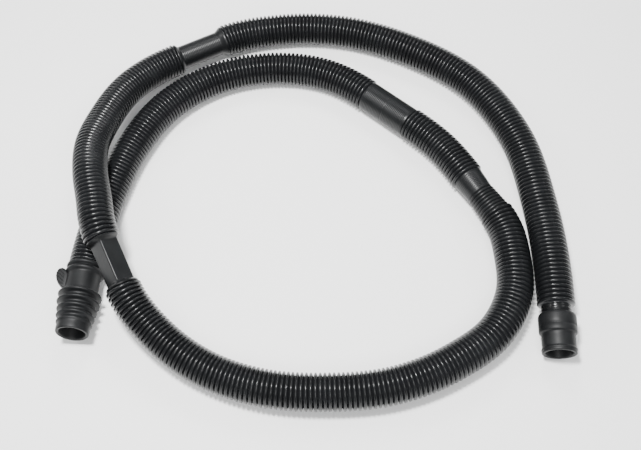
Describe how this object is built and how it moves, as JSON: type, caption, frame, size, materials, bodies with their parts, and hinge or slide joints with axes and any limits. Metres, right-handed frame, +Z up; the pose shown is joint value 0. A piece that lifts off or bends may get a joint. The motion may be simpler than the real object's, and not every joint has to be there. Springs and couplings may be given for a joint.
{
  "type": "corrugated drain hose",
  "caption": "Corrugated hose in a loose double loop that crosses itself, with a finned rubber inlet boot, smooth and square cuffs along it and a plain rubber outlet cuff.",
  "frame": {"origin": "on the floor, midway between the two end fittings (bottom centre of the box around the inlet boot and the outlet cuff)", "axes": "+Z up from the floor, +X from the inlet boot's side to the outlet cuff's side, -Y the way both mouths face"},
  "size_m": [0.5218, 0.4885, 0.0761],
  "materials": {
    "hose_plastic": "semi-gloss black moulded plastic",
    "fitting_rubber": "matt black moulded rubber"
  },
  "bodies": {
    "root": {"inlet_boot": "fitting_rubber", "hose_inlet_end": "hose_plastic", "hose_run_1": "hose_plastic", "plain_cuff": "hose_plastic", "hose_run_2": "hose_plastic", "taper_cuff": "hose_plastic", "hose_run_3": "hose_plastic", "square_cuff": "hose_plastic", "hose_run_4": "hose_plastic", "waist_cuff": "hose_plastic", "hose_run_5": "hose_plastic", "hose_outlet_end": "hose_plastic", "outlet_cuff": "fitting_rubber"}
  },
  "joints": []
}
